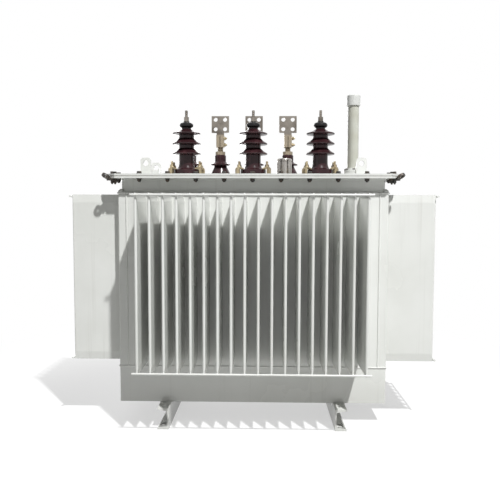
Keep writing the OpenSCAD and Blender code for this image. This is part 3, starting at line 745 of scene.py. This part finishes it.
class TankRim(bpy.types.Operator):
    """Sets the tank's upper band in from the walls, on a ledge, between the ends of the corner posts."""

    bl_idname = "transformer.tank_rim"
    bl_label = "Tank rim"

    def execute(self, context):
        size = context.scene.transformer_sizes
        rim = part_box("tank_rim")[1]
        self.band(size, rim)
        self.core(size, rim)
        return {"FINISHED"}

    def band(self, size, rim):
        """The band and its ledge as one ring, and a post end at each corner."""
        built = bmesh.new()
        back = size.rim_inset + size.rim_plate
        profile = (
            (0.0, RIM_FOOT),
            (0.0, RIM_FOOT + size.rim_ledge),
            (size.rim_inset, RIM_FOOT + size.rim_ledge + size.rim_fall),
            (size.rim_inset, rim.z),
            (back, rim.z),
            (back, RIM_FOOT),
        )
        rings = [(plan(rim.x - inset, rim.y - inset, size.tank_edge), z) for inset, z in profile]
        skin(built, rings, True)
        for i in (-1, 1):
            for j in (-1, 1):
                foot = self.post(size, i * rim.x, j * rim.y, 0.0)
                lean = self.post(size, i * rim.x, j * rim.y, size.post_slope)
                low, high = RIM_FOOT + size.rim_ledge / 2, RIM_FOOT + size.post_height
                skin(built, [(foot, low), (foot, high - size.post_slope), (lean, high)], False)
        made = piece("inset_tank_rim", solid_mesh("inset_tank_rim", built), "tank_paint")
        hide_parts("tank_rim")

    def post(self, size, x, y, lean):
        """The angle-shaped plan of a post end, with its outer faces moved in by a lean."""
        i, j = math.copysign(1, x), math.copysign(1, y)
        deep = size.rim_inset + size.rim_plate / 2
        inner = [
            (x - i * size.post_leg, y - j * lean),
            (x - i * size.post_leg, y - j * deep),
            (x - i * deep, y - j * deep),
            (x - i * deep, y - j * size.post_leg),
            (x - i * lean, y - j * size.post_leg),
        ]
        return corner_round(x - i * lean, y - j * lean, size.tank_edge) + inner

    def core(self, size, rim):
        """The core's block, narrower where the upper band stands in its way."""
        low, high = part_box("core_and_oil")
        back = size.rim_inset + size.rim_plate + size.core_gap
        wide = [(high.x, high.y), (-high.x, high.y), (-high.x, -high.y), (high.x, -high.y)]
        slim = [(math.copysign(rim.x - back, x), math.copysign(rim.y - back, y)) for x, y in wide]
        step = RIM_FOOT - size.core_gap
        built = bmesh.new()
        skin(built, [(wide, low.z), (wide, step), (slim, step), (slim, high.z)], False)
        made = piece("stepped_core", solid_mesh("stepped_core", built), "core")
        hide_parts("core_and_oil")


class CoverBolts(bpy.types.Operator):
    """Sets the cover's bolts: heads on the cover, nuts and thread ends under the flange."""

    bl_idname = "transformer.cover_bolts"
    bl_label = "Cover bolts"

    def execute(self, context):
        size = context.scene.transformer_sizes
        row_y = COVER_HALF.y - size.bolt_inset
        row_x = COVER_HALF.x - size.bolt_inset_end
        along = [(i - (size.bolts_long - 1) / 2) * size.bolt_pitch_long for i in range(size.bolts_long)]
        across = [(i - (size.bolts_end - 1) / 2) * size.bolt_pitch_end for i in range(size.bolts_end)]
        centres = [(x, side * row_y) for side in (-1, 1) for x in along]
        centres += [(side * row_x, y) for side in (-1, 1) for y in across]
        kept = {
            "Flats": size.bolt_flats,
            "Hex_Height": size.bolt_head,
            "Washer_Diameter": size.bolt_washer,
            "Thread_Diameter": size.bolt_thread,
        }
        heads = [((x, y, COVER_TOP), UP) for x, y in centres]
        nuts = [((x, y, FLANGE_FOOT), DOWN) for x, y in centres]
        set_bolts("cover_bolt_heads", heads, "dark_steel", **kept)
        set_bolts("cover_bolt_nuts", nuts, "dark_steel", Thread_Reach=size.bolt_end, **kept)
        self.eye_bolts(size)
        return {"FINISHED"}

    def eye_bolts(self, size):
        """Two bolts through each cut corner hold a lashing eye's strap."""
        inward = Vector((-size.corner_y, -size.corner_x)).normalized()
        middle = COVER_HALF.xy - Vector((size.corner_x, size.corner_y)) / 2
        heads, nuts = [], []
        for reach in (size.eye_bolt_out, size.eye_bolt_in):
            x, y = middle + inward * reach
            for i in (-1, 1):
                for j in (-1, 1):
                    heads.append(((i * x, j * y, COVER_TOP), UP))
                    nuts.append(((i * x, j * y, FLANGE_FOOT - size.eye_strap), DOWN))
        set_bolts("eye_bolt_heads", heads, "dark_steel", **EYE_BOLT)
        set_bolts("eye_bolt_nuts", nuts, "dark_steel", Thread_Reach=size.bolt_end, **EYE_BOLT)


class ClampStuds(bpy.types.Operator):
    """Sets the studs and nuts of the high-voltage bushings' claws."""

    bl_idname = "transformer.clamp_studs"
    bl_label = "Clamp studs"

    def execute(self, context):
        size = context.scene.transformer_sizes
        lean = size.claw_angle
        seats = []
        for phase in PHASES:
            axis = axis_of("hv_insulator_" + phase)
            for turn in (lean, math.pi - lean, math.pi + lean, -lean):
                reach = Vector((math.cos(turn), math.sin(turn), 0)) * size.claw_radius
                seats.append((axis + reach + UP * size.claw_seat, UP))
        set_bolts("hv_clamp_nuts", seats, "clamp_zinc", Thread_Reach=size.claw_reach, **CLAMP_NUT)
        starts = [(seat + UP * CLAMP_NUT_TOP, way) for seat, way in seats]
        bare = size.claw_reach - CLAMP_NUT_TOP
        wind_threads("hv_clamp_threads", starts, "clamp_zinc", Length=bare, **CLAMP_THREAD)
        return {"FINISHED"}


class WeldSeams(bpy.types.Operator):
    """Lays the tank's seam welds and the spots that hold the tie rods to the fins."""

    bl_idname = "transformer.weld_seams"
    bl_label = "Weld seams"

    def execute(self, context):
        size = context.scene.transformer_sizes
        pan_top = PAN_HALF.z
        x, y = PAN_HALF.x, PAN_HALF.y
        inset = size.rim_inset
        seams = [loop(x, y, pan_top), loop(x, y, RIM_FOOT), loop(x - inset, y - inset, FLANGE_FOOT)]
        seam_x = x - size.corner_leg
        seam_y = y - size.corner_leg
        for i in (-1, 1):
            for j in (-1, 1):
                seams.append([(i * seam_x, j * y, pan_top), (i * seam_x, j * y, RIM_FOOT)])
                seams.append([(i * x, j * seam_y, pan_top), (i * x, j * seam_y, RIM_FOOT)])
        lay_welds("tank_weld_seams", seams, size)
        self.rod_spots(size)
        self.lug_welds(size)
        return {"FINISHED"}

    def rod_spots(self, size):
        """Spots on both sides of a rod at each fin nose."""
        held = []
        for wall, across in (("front", 0), ("back", 0), ("left", 1), ("right", 1)):
            low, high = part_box(wall + "_tie_rods")
            out = 1 - across
            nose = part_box(wall + "_corrugated_wall")[0 if wall in ("front", "left") else 1][out]
            first = low[across] + size.rod_past
            count = 1 + round((high[across] - size.rod_past - first) / size.fin_pitch)
            for i in range(count):
                for level in (low.z + size.rod_radius, high.z - size.rod_radius):
                    point = Vector((0, 0, level))
                    point[across] = first + i * size.fin_pitch
                    point[out] = nose
                    way = Vector((0, 0, 0))
                    way[out] = 1 if nose > 0 else -1
                    rise = UP * size.rod_weld_side
                    held += [(point - rise, way), (point + rise, way)]
        seeds = spots("rod_spots", held)
        grow("tie_rod_welds", shared(tack_tree), seeds, "tank_paint", Width=size.rod_weld)

    def lug_welds(self, size):
        """Fillets round the feet of the lifting lugs and their ribs, and along the channels."""
        low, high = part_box("lifting_lugs")
        thick, rib, wide = size.lug_plate, size.lug_rib, size.lug_width
        lines = []
        for i in (-1, 1):
            for j in (-1, 1):
                x = i * (high.x - wide / 2)
                y = j * (high.y - thick / 2)
                lines.append(loop(wide / 2, thick / 2, COVER_TOP, (x, y)))
                inner = (x - i * (wide - thick) / 2, y - j * (thick + rib) / 2)
                lines.append(loop(thick / 2, rib / 2, COVER_TOP, inner))
        for side in ("left", "right"):
            low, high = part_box(side + "_base_channel")
            for x in (low.x, high.x):
                lines.append([(x, -PAN_HALF.y, high.z), (x, PAN_HALF.y, high.z)])
        lay_welds("fillet_welds", lines, size)


class TerminalBolts(bpy.types.Operator):
    """Sets the clamp bolts of the palms and the threads of the bushings' studs."""

    bl_idname = "transformer.terminal_bolts"
    bl_label = "Terminal bolts and threads"

    def execute(self, context):
        size = context.scene.transformer_sizes
        self.palm_bolts(size)
        self.front_threads(size)
        self.back_threads(size)
        return {"FINISHED"}

    def palm_bolts(self, size):
        """Two bolts through the clamp under each palm."""
        nuts = []
        for phase in PHASES:
            axis = axis_of("lv_stud_" + phase)
            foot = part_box("lv_palm_" + phase)[0].z
            for level in (size.palm_bolt_low, size.palm_bolt_high):
                middle = Vector((axis.x, axis.y - size.palm_bolt_out, foot + level))
                nuts.append((middle + ALONG * (size.palm_clamp / 2), ALONG))
        kept = {"Washer_Height": PALM_WASHER, "Thread_Reach": PALM_NUT_REACH, **PALM_NUT}
        set_bolts("lv_palm_bolts", nuts, "clamp_zinc", **kept)

    def front_threads(self, size):
        """Threads at the tops of the high-voltage bushings' studs."""
        starts = []
        for phase in PHASES:
            node = "hv_terminal_" + phase
            starts.append((axis_of(node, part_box(node)[1].z - size.hv_thread), UP))
        bare = size.hv_thread - HV_THREAD_END
        wind_threads("hv_stud_threads", starts, "terminal_tin", Length=bare, **HV_THREAD)

    def back_threads(self, size):
        """Threads of the low-voltage bushings' studs, up to the neutral's top and to the palms."""
        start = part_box("lv_insulator_neutral")[1].z + size.lv_nut
        neutral = [(axis_of("lv_stud_neutral", start), UP)]
        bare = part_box("lv_stud_neutral")[1].z - start - LV_THREAD_END
        wind_threads("lv_neutral_threads", neutral, "terminal_tin", Length=bare, **LV_THREAD)
        starts = [(axis_of("lv_stud_" + phase, start), UP) for phase in PHASES]
        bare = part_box("lv_palm_left")[0].z - start
        wind_threads("lv_stud_threads", starts, "terminal_tin", Length=bare, **LV_THREAD)


class GaugeBolts(bpy.types.Operator):
    """Sets the bolts through the flanges of the oil gauge's foot."""

    bl_idname = "transformer.gauge_bolts"
    bl_label = "Oil gauge bolts"

    def execute(self, context):
        size = context.scene.transformer_sizes
        axis = axis_of("oil_gauge_base")
        tops, feet = [], []
        for i in range(size.gauge_bolts):
            turn = (i + 0.5) * 2 * math.pi / size.gauge_bolts
            place = axis + Vector((math.cos(turn), math.sin(turn), 0)) * size.gauge_bolt_radius
            tops.append((place + UP * size.gauge_flange_top, UP))
            feet.append((place + UP * size.gauge_flange_foot, DOWN))
        kept = {"Washer_Height": GAUGE_WASHER, **GAUGE_BOLT}
        set_bolts("gauge_bolt_heads", tops, "dark_steel", Thread_Reach=GAUGE_HEAD_REACH, **kept)
        set_bolts("gauge_bolt_nuts", feet, "dark_steel", Thread_Reach=GAUGE_NUT_REACH, **kept)
        return {"FINISHED"}


class StudioStage(bpy.types.Operator):
    """Makes the pale floor, the soft studio lamps, the white surround and the camera."""

    bl_idname = "transformer.stage"
    bl_label = "Studio"

    def execute(self, context):
        self.floor(context)
        self.surround(context)
        for lamp in LAMPS:
            self.lamp(context, *lamp)
        self.camera(context)
        context.scene.view_settings.view_transform = "Standard"
        return {"FINISHED"}

    def floor(self, context):
        """A wide floor that keeps the shadow and turns white away from the part."""
        mesh = bpy.data.meshes.new("studio_floor")
        turns = [i * 2 * math.pi / FLOOR_SIDES for i in range(FLOOR_SIDES)]
        rim = [(FLOOR_RADIUS * math.cos(turn), FLOOR_RADIUS * math.sin(turn), 0.0) for turn in turns]
        mesh.from_pydata(rim, [], [tuple(range(FLOOR_SIDES))])
        made = bpy.data.objects.new("studio_floor", mesh)
        context.scene.collection.objects.link(made)
        mesh.materials.append(self.floor_finish(context.scene.transformer_colours))

    def floor_finish(self, hues):
        """Pale paint that shows white far from the part, and throws back less light than it shows."""
        material = bpy.data.materials.new("studio_floor")
        material.use_nodes = True
        wiring = Wiring(material.node_tree)
        shader = wiring.tree.nodes["Principled BSDF"]
        shader.inputs["Roughness"].default_value = FLOOR_ROUGHNESS
        where = wiring.add("ShaderNodeTexCoord").outputs["Object"]
        far = wiring.add("ShaderNodeVectorMath", {0: where}, operation="LENGTH").outputs["Value"]
        fade = wiring.add(
            "ShaderNodeMapRange",
            {"Value": far, "From Min": FLOOR_NEAR, "From Max": FLOOR_FAR, "To Min": FLOOR_NEAR_WHITE},
            interpolation_type="SMOOTHSTEP",
        ).outputs[0]
        seen = wiring.add("ShaderNodeLightPath").outputs
        straight = wiring.math("MAXIMUM", seen["Is Camera Ray"], seen["Is Glossy Ray"])
        tone = wiring.mix(straight, opaque(hues.floor_bounce), opaque(hues.floor))
        wiring.tree.links.new(tone, shader.inputs["Base Color"])
        white = wiring.add("ShaderNodeEmission", {"Color": (1.0, 1.0, 1.0, 1.0), "Strength": 1.0}).outputs[0]
        factor = wiring.math("MULTIPLY", fade, straight)
        both = wiring.add("ShaderNodeMixShader", {0: factor, 1: shader.outputs[0], 2: white}).outputs[0]
        wiring.tree.links.new(both, wiring.tree.nodes["Material Output"].inputs["Surface"])
        return material

    def surround(self, context):
        """White to the eye and in reflections, a soft grey light on the part."""
        world = bpy.data.worlds.new("studio_surround")
        world.use_nodes = True
        context.scene.world = world
        wiring = Wiring(world.node_tree)
        seen = wiring.add("ShaderNodeLightPath").outputs
        direct = wiring.math("MAXIMUM", seen["Is Camera Ray"], seen["Is Glossy Ray"])
        shown = wiring.math("MAXIMUM", direct, seen["Is Transmission Ray"])
        strength = wiring.spread(shown, SURROUND_LIGHT, 1.0)
        background = wiring.tree.nodes["Background"]
        background.inputs["Color"].default_value = (1.0, 1.0, 1.0, 1.0)
        wiring.tree.links.new(strength, background.inputs["Strength"])

    def lamp(self, context, name, place, width, power):
        """A square lamp that points at the part."""
        data = bpy.data.lights.new(name, "AREA")
        data.size = width
        data.energy = power
        made = bpy.data.objects.new(name, data)
        made.location = place
        made.rotation_euler = (LAMP_TARGET - Vector(place)).to_track_quat("-Z", "Y").to_euler()
        context.scene.collection.objects.link(made)

    def camera(self, context):
        """The photograph's viewpoint."""
        heading, dip, roll = CAMERA_HEADING, CAMERA_DIP, CAMERA_ROLL
        ahead = Vector((math.sin(heading) * math.cos(dip), math.cos(heading) * math.cos(dip), -math.sin(dip)))
        level = Vector((math.cos(heading), -math.sin(heading), 0))
        above = level.cross(ahead)
        right = math.cos(roll) * level + math.sin(roll) * above
        upright = math.cos(roll) * above - math.sin(roll) * level
        data = bpy.data.cameras.new("photo_camera")
        data.sensor_width = CAMERA_SENSOR
        data.lens = CAMERA_LENS
        made = bpy.data.objects.new("photo_camera", data)
        turn = Matrix((right, upright, -ahead)).transposed().to_4x4()
        made.matrix_world = Matrix.Translation(CAMERA_PLACE) @ turn
        context.scene.collection.objects.link(made)
        context.scene.camera = made


class TransformerPanel(bpy.types.Panel):
    """Lists the steps that dress the transformer."""

    bl_idname = "VIEW3D_PT_transformer"
    bl_label = "Power transformer"
    bl_space_type = "VIEW_3D"
    bl_region_type = "UI"
    bl_category = "Transformer"

    def draw(self, context):
        for step in STEPS:
            self.layout.operator(step.bl_idname)
        for group in (context.scene.transformer_sizes, context.scene.transformer_colours):
            for name in group.__annotations__:
                self.layout.prop(group, name)


STEPS = (DressSolids, TankRim, CoverBolts, ClampStuds, TerminalBolts, GaugeBolts, WeldSeams, StudioStage)
CLASSES = (TransformerSizes, TransformerColours, *STEPS, TransformerPanel)


def register():
    """Adds the classes and the scene's settings."""
    for kind in CLASSES:
        bpy.utils.register_class(kind)
    bpy.types.Scene.transformer_sizes = PointerProperty(type=TransformerSizes)
    bpy.types.Scene.transformer_colours = PointerProperty(type=TransformerColours)


def unregister():
    """Takes the settings and the classes away again."""
    del bpy.types.Scene.transformer_colours
    del bpy.types.Scene.transformer_sizes
    for kind in reversed(CLASSES):
        bpy.utils.unregister_class(kind)


def main():
    """Dresses the transformer."""
    register()
    bpy.ops.transformer.solids()
    bpy.ops.transformer.tank_rim()
    bpy.ops.transformer.cover_bolts()
    bpy.ops.transformer.clamp_studs()
    bpy.ops.transformer.terminal_bolts()
    bpy.ops.transformer.gauge_bolts()
    bpy.ops.transformer.weld_seams()
    bpy.ops.transformer.stage()
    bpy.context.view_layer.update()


if __name__ == "__main__":
    main()
